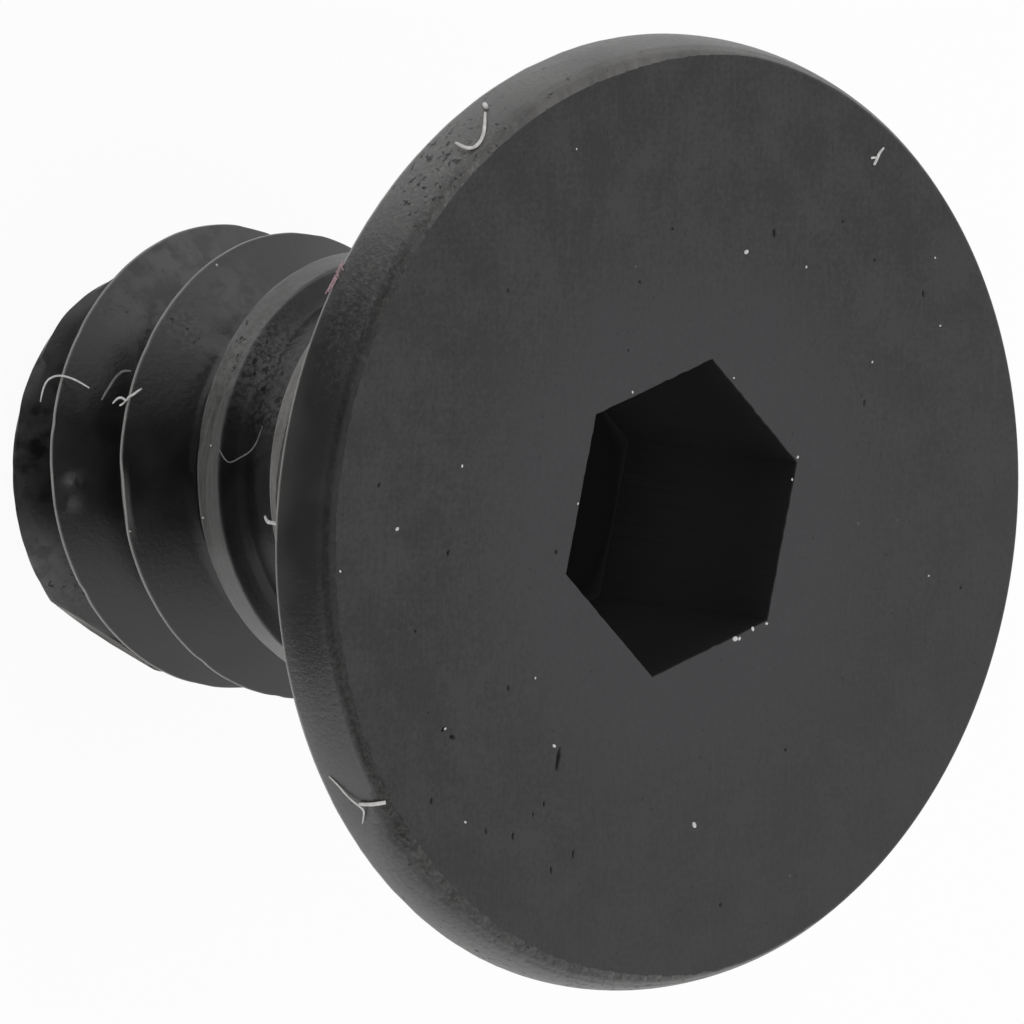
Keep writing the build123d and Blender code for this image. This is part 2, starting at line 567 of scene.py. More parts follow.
radius, angle, height = read_points(screw)
points = np.stack([radius * np.cos(angle), radius * np.sin(angle)], axis=1)
on_top = (height > face_height - 0.02) & (radius > socket_apothem + 0.03)
sunk = np.zeros(len(radius))
for mark in marks:
    share = depth_share(points, mark) * on_top
    height -= mark[-1] * share
    sunk = np.maximum(sunk, share)
write_points(screw, radius, angle, height)
triangles = sum(len(f.vertices) - 2 for f in screw.data.polygons)
print("deepest mark", max(mark[-1] for mark in marks), "mm;", triangles, "triangles")

# %% [markdown]
# ## Where the finish is worn, and where light is painted
#
# A finish is not the same all over. The oxide is rubbed thin along the crests,
# which are also painted pale as a highlight. Oil and thread dirt are smeared on
# some flanks, and paler patches are painted as light where the flanks and the rim
# catch more of it. The rim and the neck have pitted patches, and the knock on the
# point is dull. Each of these is kept as one number per vertex, an attribute,
# which the materials read later. It follows the thread exactly, and it stays with
# the mesh.

# %% Store the marks and the rubbed crests
def store(piece, name, numbers):
    """Keeps one number per vertex, for a finish to read."""
    layer = piece.data.attributes.new(name, "FLOAT", "POINT")
    layer.data.foreach_set("value", np.ascontiguousarray(numbers, dtype=np.float32))
    print(name, "on", int((numbers > 0.05).sum()), "vertices")


def hump(distance, half_width, power=2):
    """One in the middle of a place, falling off outside it; a higher power has a flatter top."""
    return np.exp(-(distance / half_width) ** power)


store(screw, "sunk", sunk)

along, beside = along_crest(angle, height), from_crest(angle, height)
on_shank = (height > 0.02) & (height < cone_foot - 0.02)
flat_half = crest_width / 2 + (thread_radius - crest_envelope(angle, height)) * flank_slope
beyond = np.abs(beside) - flat_half
on_flat = np.clip(0.5 - beyond / 0.007, 0, 1)
full_crest = np.clip((neck_taper_from + 0.12 - height) / 0.25, 0, 1)

# a full crest is painted pale, rubbed bare and with a painted highlight, and the neck's flats most
# where they near the head
neck_rub = np.interp(height, [2.60, 2.68, 2.9, 3.3], [0.34, 0.24, 0.24, 0.68])
edge_rub = 0.16 * hump(beyond, 0.008) * (1 - full_crest)
rubbed_and_highlight = on_shank * (on_flat * (neck_rub + (1 - neck_rub) * full_crest) + edge_rub)
# painted highlight: the crests are painted less pale round 100 degrees, where their highlight is softer
rubbed_and_highlight *= 1 - 0.3 * hump(np.degrees(angle) - 100, 28, 4)

# the largest knock has left a small facet beside the crest, painted pale as rubbed steel and as a
# painted highlight
facet = hump(along - 530, 8, 4) * hump(beside - 0.022, 0.018, 6)
rubbed_and_highlight = np.maximum(rubbed_and_highlight, on_shank * 0.26 * facet)

# nothing is rubbed on the point; the rim is painted pale only along its lower edge, as rubbed steel and
# a painted highlight
rubbed_and_highlight *= np.clip((height - 0.35) / 0.25, 0, 1)
rubbed_and_highlight = np.maximum(rubbed_and_highlight, hump(height - rim_lower, 0.011) * (radius > 3))
store(screw, "rubbed_and_highlight", np.clip(rubbed_and_highlight, 0, 1))

# %% Store the smears, the painted light and the pitted patches
def patches(places):
    """Soft patches, each by angle, height, half width in degrees, half height and strength."""
    strongest = np.zeros(len(radius))
    for degrees, level, wide, tall, strength in places:
        aside = (np.degrees(angle) - degrees + 180) % 360 - 180
        strongest = np.maximum(strongest, strength * hump(aside, wide) * hump(height - level, tall))
    return strongest


# painted light: the near patches make the flanks and the rim paler where they catch more light, and
# some of them are smears; the far ones are smears of oil and dirt
smears_and_painted_light = [
    (150, 0.40, 26, 0.25, 0.24), (196, 0.46, 10, 0.15, 0.9), (96, 0.62, 14, 0.18, 0.6),
    (90, 1.10, 20, 0.35, 0.6), (110, 1.22, 12, 0.20, 0.8), (122, 1.42, 7, 0.16, 0.6),
    (166.0, 1.186, 1.7, 0.035, 1.0), (172.3, 1.183, 2.2, 0.04, 0.45),
    (100, 2.00, 12, 0.20, 0.8), (117, 2.10, 9, 0.17, 1.0), (126, 2.25, 5, 0.12, 0.7),
    (95, 2.53, 26, 0.08, 0.5), (128, 3.10, 10, 0.2, 0.6),
    (82, 5.88, 34, 0.5, 1.0), (262, 5.85, 14, 0.5, 1.0)]
far_smears = [
    (20, 1.4, 16, 0.2, 0.7), (300, 1.9, 14, 0.2, 0.8), (262, 1.2, 12, 0.15, 0.6),
    (330, 2.9, 12, 0.2, 0.7), (60, 3.0, 10, 0.2, 0.6), (359, 2.8, 10, 0.4, 1.0)]
pitted_shank = [
    (205, 0.55, 8, 0.2, 0.8), (115, 1.15, 7, 0.2, 0.5), (118, 1.9, 7, 0.2, 0.7),
    (108, 2.3, 8, 0.3, 0.7), (122, 2.75, 14, 0.45, 1.0), (137, 3.15, 8, 0.3, 0.8),
    (290, 2.9, 16, 0.4, 0.6)]
pitted_rim = [
    (94, 5.85, 16, 0.5, 0.55), (112, 5.85, 14, 0.5, 1.0), (130, 5.90, 12, 0.3, 0.5),
    (208, 5.8, 12, 0.5, 0.45), (226, 5.8, 14, 0.5, 0.7), (248, 5.8, 16, 0.5, 1.0),
    (20, 5.8, 22, 0.5, 0.5), (320, 5.8, 16, 0.5, 0.6),
    (100, 6.07, 36, 0.05, 0.55), (215, 6.07, 40, 0.05, 0.5)]
handled = 0.35 * hump(height - rim_lower, 0.13) * (radius > 3.3)
store(screw, "smeared_and_painted_light", np.maximum(patches(smears_and_painted_light + far_smears), handled))
store(screw, "pitted", patches(pitted_shank + pitted_rim))

# %% Store where the knock on the point has left the steel dull
flat_spot_reach = radius * np.cos(angle - flat_spot_angle)
on_flat_spot = (height < flat_spot_top) & (flat_spot_reach > flat_spot_distance - 0.015)
turned_away = np.clip((np.degrees(angle) - 212) / 16, 0, 1)
store(screw, "dulled", on_flat_spot * turned_away)

# %% [markdown]
# ## Black oxide
#
# Black oxide is a skin of magnetite a few micrometres thick, sealed with oil. It
# is nearly black, and what we see of it is mostly a soft reflection, which grows
# towards a glancing angle. Magnetite bends light strongly, so its index of
# refraction is high where the skin is dense. Every finish here is a Principled
# BSDF with a dark base colour, and patterns on top: clouds for mottling, spots
# for pits and dust, and stretched clouds for scratches. The patterns are made in
# millimetres on Object coordinates, so they keep their size and stay in place.

# %% Helpers for finishes
def add_node(material, kind, settings=None, sockets=None):
    """Adds a node, sets its properties, and fills its inputs with a value or a link."""
    node = material.node_tree.nodes.new("ShaderNode" + kind)
    for name, value in (settings or {}).items():
        setattr(node, name, value)
    for name, value in (sockets or {}).items():
        if isinstance(value, bpy.types.NodeSocket):
            material.node_tree.links.new(value, node.inputs[name])
        else:
            node.inputs[name].default_value = value
    return node


def calculate(material, operation, *values):
    """A Math node's result."""
    node = add_node(material, "Math", {"operation": operation}, dict(enumerate(values)))
    return node.outputs["Value"]


def vector_maths(material, operation, *vectors):
    """A Vector Math node's results."""
    return add_node(material, "VectorMath", {"operation": operation}, dict(enumerate(vectors))).outputs


def weaken(material, share, factor):
    """A share made smaller."""
    return calculate(material, "MULTIPLY", share, factor)


def ramp(material, value, start, end):
    """Turns a value into a share: zero at start, one at end."""
    node = add_node(material, "MapRange", {"interpolation_type": "SMOOTHSTEP"},
                    {"Value": value, "From Min": start, "From Max": end})
    return node.outputs["Result"]


def blend_colour(material, share, colour, other):
    """Mixes two colours by a share."""
    node = add_node(material, "Mix", {"data_type": "RGBA"})
    for name, value in {0: share, 6: colour, 7: other}.items():
        if isinstance(value, bpy.types.NodeSocket):
            material.node_tree.links.new(value, node.inputs[name])
        else:
            node.inputs[name].default_value = (*value, 1) if name else value
    return node.outputs[2]


def stored(material, name):
    """Reads a number that is stored on the mesh."""
    return add_node(material, "Attribute", {"attribute_name": name}).outputs["Fac"]


print("helpers ready")

# %% Patterns
def millimetres(material, turn=0, stretch=(1, 1, 1)):
    """Object coordinates in millimetres, turned about Z and squeezed along their axes."""
    place = add_node(material, "TexCoord").outputs["Object"]
    turned = add_node(material, "Mapping", {}, {"Vector": place, "Rotation": (0, 0, math.radians(turn)),
                                                "Scale": (1000, 1000, 1000)})
    return vector_maths(material, "MULTIPLY", turned.outputs["Vector"], stretch)["Vector"]


def clouds(material, place, per_mm, detail=3, roughness=0.55):
    """Soft random clouds, so many to a millimetre, around one half."""
    return add_node(material, "TexNoise", {}, {"Vector": place, "Scale": per_mm, "Detail": detail,
                                               "Roughness": roughness}).outputs["Fac"]


def spots(material, place, per_mm, size, share):
    """Round spots in a share of the cells of a random grid; size is in cells."""
    cells = add_node(material, "TexVoronoi", {}, {"Vector": place, "Scale": per_mm})
    inside = ramp(material, cells.outputs["Distance"], size, size * 0.55)
    chosen = add_node(material, "SeparateColor", {}, {"Color": cells.outputs["Color"]}).outputs["Red"]
    return calculate(material, "MULTIPLY", inside, calculate(material, "LESS_THAN", chosen, share))


print("patterns ready")

# %% Helpers that put a finish together
def total(material, *parts):
    """Adds up patterns, each with its weight."""
    result = 0.0
    for pattern, weight in parts:
        result = calculate(material, "MULTIPLY_ADD", pattern, weight, result)
    return result


def relief(material, micrometres):
    """Bump from a height in micrometres."""
    bump = add_node(material, "Bump", {}, {"Height": micrometres, "Distance": 1e-6, "Strength": 1.0})
    return bump.outputs["Normal"]


def black_oxide(name, ior):
    """An empty finish of black oxide; its shader is filled in step by step."""
    material = bpy.data.materials.new(name)
    material.use_nodes = True
    shader = material.node_tree.nodes["Principled BSDF"]
    shader.inputs["IOR"].default_value = ior
    return material, shader


def finish_with(material, shader, colour, roughness, normal):
    """Links the three inputs that vary over the surface."""
    links = material.node_tree.links
    links.new(colour, shader.inputs["Base Color"])
    links.new(roughness, shader.inputs["Roughness"])
    links.new(normal, shader.inputs["Normal"])
    print(material.name, "has", len(material.node_tree.nodes), "nodes")


print("ready to mix a finish")

# %% [markdown]
# ## The face
#
# The face is an even, dry grey. Round the socket it is a little lighter and
# colder, where the punch pressed the steel smooth. Fine hairlines run mostly one
# way, and there are small pits and specks of fine dust. We add them one by one:
# each blend lays a tone over the one before it.

# %% The finish of the face
oxide_face, shader = black_oxide("oxide_face", ior=1.45)
face_place = millimetres(oxide_face)
mottle = clouds(oxide_face, face_place, per_mm=2.2, detail=3)
grain = clouds(oxide_face, face_place, per_mm=24, detail=2, roughness=0.7)
hairline = (4, 40, 40)
lengthwise = clouds(oxide_face, millimetres(oxide_face, -74, hairline), 1.0, detail=2)
crosswise = clouds(oxide_face, millimetres(oxide_face, 21, hairline), 1.0, detail=2)

weave = total(oxide_face, (mottle, 1.0), (grain, 0.8), (lengthwise, 0.35), (crosswise, 0.2))
dark, light = (0.0075, 0.0075, 0.0076), (0.0225, 0.0225, 0.0227)
tone = blend_colour(oxide_face, ramp(oxide_face, weave, 0.93, 1.43), dark, light)

# painted light: one side of the face is painted a little paler, and a halo lies round the socket
across = vector_maths(oxide_face, "DOT_PRODUCT", face_place, (0.3, -0.95, 0))["Value"]
painted_light_side = weaken(oxide_face, ramp(oxide_face, across, -1.5, 3.2), 0.5)
tone = blend_colour(oxide_face, painted_light_side, tone, (0.0235, 0.0235, 0.0236))
flat_place = vector_maths(oxide_face, "MULTIPLY", face_place, (1, 1, 0))["Vector"]
from_axis = vector_maths(oxide_face, "LENGTH", flat_place)["Value"]
halo = ramp(oxide_face, total(oxide_face, (from_axis, 1.0), (mottle, 1.6)), 3.15, 2.15)
tone = blend_colour(oxide_face, weaken(oxide_face, halo, 0.65), tone, (0.0240, 0.0236, 0.0278))
print("the face is mottled, with a halo round the socket")

# %% Scratches, pits and dust on the face
scratched = ramp(oxide_face, calculate(oxide_face, "MAXIMUM", lengthwise, crosswise), 0.69, 0.79)
tone = blend_colour(oxide_face, weaken(oxide_face, scratched, 0.22), tone, (0.035, 0.035, 0.036))
pinholes = spots(oxide_face, face_place, per_mm=4.5, size=0.075, share=0.30)
pepper = spots(oxide_face, millimetres(oxide_face, 21), per_mm=9.0, size=0.13, share=0.30)
fine_dust = spots(oxide_face, millimetres(oxide_face, 37), per_mm=3.6, size=0.040, share=0.35)
hollow_and_painted_shade = calculate(oxide_face, "MAXIMUM", pinholes, stored(oxide_face, "sunk"))
hollow_and_painted_shade = calculate(oxide_face, "MAXIMUM", hollow_and_painted_shade, weaken(oxide_face, pepper, 0.35))
# painted shade: the pits, pinholes and pepper are painted nearly black, partly as oxide left in them
# and partly as shade
tone = blend_colour(oxide_face, hollow_and_painted_shade, tone, (0.002, 0.002, 0.002))
tone = blend_colour(oxide_face, weaken(oxide_face, fine_dust, 0.5), tone, (0.12, 0.12, 0.12))
rough = total(oxide_face, (mottle, 0.12), (hollow_and_painted_shade, 0.4), (halo, -0.04))
bump = relief(oxide_face, total(oxide_face, (grain, 1.6)))
finish_with(oxide_face, shader, tone, calculate(oxide_face, "ADD", rough, 0.44), bump)

# %% [markdown]
# ## The rim
#
# The rim was turned and then tumbled. It is grainy, paler and pitted in patches,
# and its lower edge is painted pale, as rubbed steel and as a painted highlight.
# Its skin is shiny, so it is dark seen straight on and pale where light grazes it.
# Towards the face it is made to reflect less, most on one side, which paints
# shade there. Seven finishes stand for seven steps of that. They are alike but for
# the index of refraction, from 1.3 to 1.9.

# %% The finish of the rim
def tumbled_oxide(name, ior):
    """Black oxide on the tumbled rim: grainy, paler and pitted in patches, pale along its edge as
    rubbed steel and a painted highlight.
    """
    material, shader = black_oxide(name, ior)
    place = millimetres(material)
    mottle = clouds(material, place, per_mm=2.4, detail=3)
    grain = clouds(material, place, per_mm=30, detail=3, roughness=0.65)
    patchy = stored(material, "pitted")
    dark, light = (0.010, 0.010, 0.010), (0.018, 0.0176, 0.0173)
    tone = blend_colour(material, ramp(material, mottle, 0.3, 0.7), dark, light)
    pale_grain = calculate(material, "MULTIPLY", patchy, ramp(material, grain, 0.36, 0.74))
    # smears of oil and dirt, and patches painted paler where the rim catches more light, as painted
    # light
    smear_and_painted_light = calculate(material, "MULTIPLY", stored(material, "smeared_and_painted_light"), mottle)
    pale_grain = calculate(material, "MAXIMUM", pale_grain, smear_and_painted_light)
    # the rim is painted paler in grainy patches, most round 94 to 130 and 208 to 248 degrees
    tone = blend_colour(material, pale_grain, tone, (0.105, 0.099, 0.095))
    blobs = clouds(material, millimetres(material, 0, (1, 1, 1.5)), 17, detail=3, roughness=0.6)
    hollow_and_painted_shade = ramp(material, total(material, (blobs, 1.0), (patchy, 0.17)), 0.70, 0.82)
    # painted shade: the pits are painted nearly black, partly as oxide left in them and partly as shade
    tone = blend_colour(material, hollow_and_painted_shade, tone, (0.004, 0.004, 0.004))
    # the lower edge is painted pale: rubbed steel, and a painted highlight
    bare = weaken(material, stored(material, "rubbed_and_highlight"), 0.9)
    tone = blend_colour(material, bare, tone, (0.30, 0.295, 0.29))
    rough = total(material, (grain, 0.20), (hollow_and_painted_shade, 0.3))
    bump = relief(material, total(material, (grain, 4.5), (hollow_and_painted_shade, -2.5)))
    finish_with(material, shader, tone, calculate(material, "ADD", rough, 0.33), bump)
    return material


# seven copies of the rim's finish; the copies with a lower index reflect less and paint shade
dullest_ior, ior_step, shine_steps = 1.3, 0.1, 7
rim_finishes = [tumbled_oxide("oxide_rim_" + str(step), dullest_ior + ior_step * step)
                for step in range(shine_steps)]

# %% [markdown]
# ## The thread and the neck
#
# Rolling leaves the flanks smoother than the head. The crests are painted a
# paler grey, as rubbed steel and as a painted highlight, with fine streaks round
# the shank. Oil and dirt lie in soft smears, and paler patches are painted where
# the flanks catch more light. Some patches are pitted. The groove of the neck lies
# in the head's shade, and its finish is a copy that shines less, which paints that shade.

# %% The finish of the thread and the neck
def rolled_oxide(name, ior):
    """Black oxide on rolled steel: mottled, with smears and painted paler patches, pale on the crests
    as rubbed steel and a painted highlight, pitted in patches.
    """
    material, shader = black_oxide(name, ior)
    place = millimetres(material)
    mottle = clouds(material, place, per_mm=3.0, detail=4)
    grain = clouds(material, place, per_mm=26, detail=3, roughness=0.65)
    dark, light = (0.0045, 0.0045, 0.0046), (0.0100, 0.0100, 0.0102)
    tone = blend_colour(material, ramp(material, mottle, 0.3, 0.7), dark, light)
    oily = ramp(material, clouds(material, place, per_mm=6.0, detail=3), 0.36, 0.58)
    # smears of oil and dirt, and patches painted paler where the flanks catch more light, as painted
    # light
    smear_and_painted_light = calculate(material, "MULTIPLY", stored(material, "smeared_and_painted_light"), oily)
    tone = blend_colour(material, smear_and_painted_light, tone, (0.100, 0.099, 0.104))
    patchy = stored(material, "pitted")
    pale_grain = calculate(material, "MULTIPLY", patchy, ramp(material, grain, 0.4, 0.6))
    tone = blend_colour(material, pale_grain, tone, (0.070, 0.069, 0.068))
    streaks = clouds(material, millimetres(material, 0, (3, 3, 50)), per_mm=1.0, detail=3)
    streaky = total(material, (streaks, 1.1), (grain, 0.5))
    # the crests are painted pale: rubbed steel, and a painted highlight
    worn = calculate(material, "MULTIPLY", stored(material, "rubbed_and_highlight"), streaky)
    tone = blend_colour(material, worn, tone, (0.250, 0.243, 0.236))
    blobs = clouds(material, millimetres(material, 0, (1, 1, 1.6)), 13, detail=3, roughness=0.6)
    hollow_and_painted_shade = ramp(material, total(material, (blobs, 1.0), (patchy, 0.17)), 0.76, 0.82)
    # painted shade: the pits are painted nearly black, partly as oxide left in them and partly as shade
    tone = blend_colour(material, hollow_and_painted_shade, tone, (0.002, 0.002, 0.002))
    rough = total(material, (mottle, 0.14), (smear_and_painted_light, 0.25), (worn, 0.15), (pale_grain, 0.2),
                  (stored(material, "dulled"), 0.6))
    bump = relief(material, total(material, (grain, 1.6), (hollow_and_painted_shade, -5.0)))
    finish_with(material, shader, tone, calculate(material, "ADD", rough, 0.24), bump)
    return material


oxide_thread = rolled_oxide("oxide_thread", ior=1.62)
# painted shade: the neck's copy has a lower index, so it reflects less
neck_painted_shade = rolled_oxide("neck_painted_shade", ior=1.42)

# %% [markdown]
# ## The socket
#
# The broach leaves the socket's walls dull, with fine lines running down them.
# It is deep and narrow, so little light gets out of it. Its walls are painted paler
# towards the bottom, as painted light, and the very bottom is painted nearly black,
# as painted shade.

# %% The finish of the socket
oxide_socket, shader = black_oxide("oxide_socket", ior=1.3)
upright_lines = (40, 40, 1.5)
lines_down = clouds(oxide_socket, millimetres(oxide_socket, 0, upright_lines), 1.0, detail=3)
socket_place = millimetres(oxide_socket)
level = add_node(oxide_socket, "SeparateXYZ", {}, {"Vector": socket_place}).outputs["Z"]
# painted light: the walls are painted paler the deeper they lie
depth = ramp(oxide_socket, level, face_height - 0.1, socket_floor)
tone = blend_colour(oxide_socket, depth, (0.012, 0.012, 0.012), (0.060, 0.060, 0.060))
# painted shade: the very bottom of the socket is painted nearly black
floor_painted_shade = ramp(oxide_socket, level, socket_floor + 0.01, socket_floor - 0.01)
tone = blend_colour(oxide_socket, floor_painted_shade, tone, (0.002, 0.002, 0.002))
tone = blend_colour(oxide_socket, weaken(oxide_socket, lines_down, 0.4), tone, (0.02, 0.02, 0.02))
rough = calculate(oxide_socket, "MULTIPLY_ADD", lines_down, 0.2, 0.6)
bump = relief(oxide_socket, total(oxide_socket, (lines_down, 2.0)))
finish_with(oxide_socket, shader, tone, rough, bump)

# %% [markdown]
# ## A finish for each face of the mesh
#
# One mesh can carry many finishes: each of its faces has the number of one. We
# choose it by where the middle of the face lies. The face's dry finish ends on
# the rounded edge, in a ragged line. Outside it, the rim takes the finish for
# how strongly it reflects there, which paints shade. The neck's groove begins at the
# third crest, so the border of its finish, which reflects less, climbs with the helix.

# %% Choose how the rim changes round the head
def face_border(angle):
    """How far out the face's finish reaches: a ragged line, nearer the axis on one side."""
    degrees = np.degrees(angle) % 360
    reach = np.interp(degrees, [0, 62, 85, 122, 142, 180, 205, 218, 245, 264, 360],
                      [3.348, 3.340, 3.275, 3.275, 3.272, 3.272, 3.275, 3.280, 3.285, 3.340, 3.348])
    ragged = np.interp(degrees, [0, 60, 120, 150, 360], [0.012, 0.003, 0.003, 0.012, 0.012])
    return reach + ragged * waver(angle, 38, seed=7)


def rim_shine(angle, level):
    """How strongly the rim reflects, from 0 to 1: less towards the face, and not evenly so. This paints
    shade on the rim.
    """
    degrees = np.degrees(angle) % 360
    up_rim = (level - rim_lower) / rim_height
    dims_from = np.interp(degrees, [0, 80, 122, 135, 195, 208, 235, 255, 360],
                           [0.8, 0.8, 0.8, 0.86, 0.86, 0.2, 0.3, 0.7, 0.8])
    loss = np.interp(degrees, [0, 80, 118, 132, 195, 210, 250, 275, 360],
                     [1, 1, 1.5, 3.2, 3.2, 2.2, 1.5, 0.8, 1])
    dims_to = 0.97
    share = np.clip((up_rim - dims_from) / (dims_to - dims_from), 0, 1)
    return np.clip(3 - share * (loss + 0.5 * waver(angle, 38, seed=11)), 0, 3) / 3


around = np.radians([90.0, 165.0, 240.0])
print("density near the face at 90, 165 and 240 degrees:",
      rim_shine(around, np.full(3, face_height - 0.02)).round(2))

# %% Give each face its finish
finishes = [oxide_face] + rim_finishes + [oxide_thread, neck_painted_shade, oxide_socket]
screw.data.materials.clear()
for finish in finishes:
    screw.data.materials.append(finish)
middles = np.empty(len(screw.data.polygons) * 3)
screw.data.polygons.foreach_get("center", middles)
x, y, level = middles.reshape(-1, 3).T * 1000
from_axis, angle = np.hypot(x, y), np.arctan2(y, x)
chosen = np.full(len(level), finishes.index(oxide_thread))

turns = (angle % (2 * math.pi)) / (2 * math.pi)
past_crest, inside_flats = 0.10, 0.012
neck_start = first_crest_height + 2 * pitch + past_crest + turns * pitch
in_neck = (from_axis < neck_radius - inside_flats) & (level > neck_start)
chosen[in_neck] = finishes.index(neck_painted_shade)

on_rim = (from_axis > 3) & (level > rim_lower - 0.02)
# painted shade: the rim takes a copy that reflects less towards the face
shine = rim_shine(angle[on_rim], level[on_rim])
first_rim_finish = finishes.index(rim_finishes[0])
chosen[on_rim] = first_rim_finish + np.round(shine * (shine_steps - 1)).astype(int)

on_top = (level > face_height - 0.05) & (from_axis < face_border(angle))
chosen[on_top] = finishes.index(oxide_face)
in_socket = (level < face_height - 0.001) & (level > socket_floor - socket_floor_dip - 0.01)
chosen[in_socket & (from_axis < socket_apothem * 1.2)] = finishes.index(oxide_socket)
screw.data.polygons.foreach_set("material_index", chosen.astype(np.int32))
print("faces by finish:", np.bincount(chosen))

# %% Put the screw in the frame
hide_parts("screw")
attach(screw, "root")
print("the dressed screw stands for the CAD part's screw")

# %% [markdown]
# ## Lint
#
# At this size a thread of lint is as thick as a scratch is wide. Each fibre is a
# smooth curve that follows a few points near the surface, with a round section
# and closed ends. The curve is then converted to a mesh.

# %% Helpers for lint
def at(distance, degrees, level):
    """A place by distance from the axis, angle and height, in Blender's metres."""
    turn = math.radians(degrees)
    return Vector((distance * math.cos(turn), distance * math.sin(turn), level)) / 1000


def fibre(name, thickness, places, ends=(0.6, 0.6)):
    """A fibre through places by distance, angle and height; all in millimetres and degrees."""
    bpy.ops.object.select_all(action="DESELECT")
    bpy.ops.curve.primitive_nurbs_path_add(location=(0, 0, 0))
    piece = bpy.context.object
    piece.name = piece.data.name = name
    spline = piece.data.splines[0]
    if len(places) > len(spline.points):
        spline.points.add(len(places) - len(spline.points))
    places = places + [places[-1]] * (len(spline.points) - len(places))
    for point, place in zip(spline.points, places):
        point.co = (*at(*place), 1)
        point.radius = 1
    spline.points[0].radius, spline.points[-1].radius = ends
    spline.order_u, spline.use_endpoint_u = 3, True
    piece.data.bevel_depth = thickness / 2000
    piece.data.bevel_resolution = 2
    piece.data.resolution_u = 6
    piece.data.use_fill_caps = True
    bpy.ops.object.convert(target="MESH")
    bpy.ops.object.mode_set(mode="EDIT")
    bpy.ops.mesh.select_all(action="SELECT")
    bpy.ops.mesh.remove_doubles(threshold=1e-7)
    bpy.ops.mesh.normals_make_consistent(inside=False)
    bpy.ops.object.mode_set(mode="OBJECT")
    bpy.ops.object.shade_smooth()
    return piece


def join_as(name, pieces):
    """Joins pieces into one mesh with its origin at the frame's."""
    bpy.ops.object.select_all(action="DESELECT")
    for piece in pieces:
        piece.select_set(True)
    bpy.context.view_layer.objects.active = pieces[0]
    bpy.ops.object.join()
    bpy.ops.object.transform_apply(location=True, rotation=True, scale=True)
    piece = bpy.context.object
    piece.name = piece.data.name = name
    print(name, "of", sum(len(f.vertices) - 2 for f in piece.data.polygons), "triangles")
    return piece


print("ready to lay fibres")

# %% Fibres on the head
rim_out = head_radius + 0.006
top = face_height - 0.006
head_lint = [
    fibre("hook", 0.026, [
        (rim_out, 109.8, 5.905), (rim_out, 110.1, 5.965), (rim_out - 0.03, 110.0, 6.01),
        (rim_out - 0.06, 109.3, 6.03), (rim_out - 0.065, 108.2, 6.03),
        (rim_out - 0.05, 106.9, 6.01), (rim_out - 0.02, 105.4, 5.955), (rim_out, 103.8, 5.875)]),
    fibre("hook_end", 0.036, [
        (rim_out, 102.9, 5.835), (rim_out + 0.01, 102.5, 5.80), (rim_out, 102.3, 5.78)],
        ends=(0.9, 0.9)),
    fibre("fork_long", 0.014, [
        (rim_out, 192.4, 5.745), (rim_out, 193.4, 5.80), (rim_out, 194.9, 5.845),
        (rim_out, 195.9, 5.90), (rim_out - 0.01, 196.8, 5.945), (rim_out - 0.01, 197.6, 5.93),
        (rim_out, 199.1, 5.86)]),
    fibre("fork_thick", 0.030, [
        (rim_out - 0.015, 196.2, 5.92), (rim_out - 0.035, 196.4, 5.99),
        (3.37, 196.6, 6.06), (3.33, 196.9, 6.076)], ends=(0.8, 1.0)),
    fibre("tick", 0.024, [
        (3.205, 36.6, top), (3.15, 36.9, top), (3.10, 36.7, top), (3.052, 36.7, top)]),
    fibre("tick_branch", 0.018, [(3.115, 36.6, top), (3.10, 37.2, top), (3.075, 37.7, top)]),
]
print(len(head_lint), "fibres on the head")

# %% Fibres on the shank
shank_lint = [
    fibre("arc", 0.015, [
        (1.69, 147.0, 0.855), (1.70, 144.3, 0.855), (1.72, 141.6, 0.895), (1.735, 140.4, 0.975),
        (1.74, 140.0, 1.07), (1.735, 140.3, 1.17), (1.71, 140.7, 1.24), (1.67, 141.7, 1.33)]),
    fibre("curl", 0.018, [
        (1.70, 145.0, 1.67), (1.73, 143.7, 1.735), (1.735, 143.4, 1.80), (1.735, 144.2, 1.85),
        (1.74, 143.0, 1.875), (1.735, 142.4, 1.91), (1.72, 141.2, 1.93), (1.70, 140.3, 1.94)]),
    fibre("curl_branch", 0.014, [
        (1.73, 144.0, 1.845), (1.745, 144.9, 1.84), (1.74, 145.5, 1.80)]),
    fibre("faint", 0.020, [
        (1.60, 143.9, 1.42), (1.60, 142.2, 1.435), (1.61, 140.1, 1.475), (1.62, 137.8, 1.51),
        (1.63, 136.4, 1.555), (1.66, 135.8, 1.63), (1.68, 136.0, 1.73)]),
    fibre("stub", 0.028, [
        (1.66, 167.8, 3.44), (1.68, 169.0, 3.48), (1.71, 168.7, 3.57), (1.75, 168.5, 3.69)]),
    fibre("hair", 0.011, [
        (1.57, 152.2, 2.78), (1.56, 154.1, 2.82), (1.52, 155.9, 2.85), (1.48, 155.3, 2.865),
        (1.46, 154.1, 2.90), (1.46, 152.0, 3.01), (1.46, 148.5, 3.07), (1.47, 144.3, 3.09)]),
]
print(len(shank_lint), "fibres on the shank")

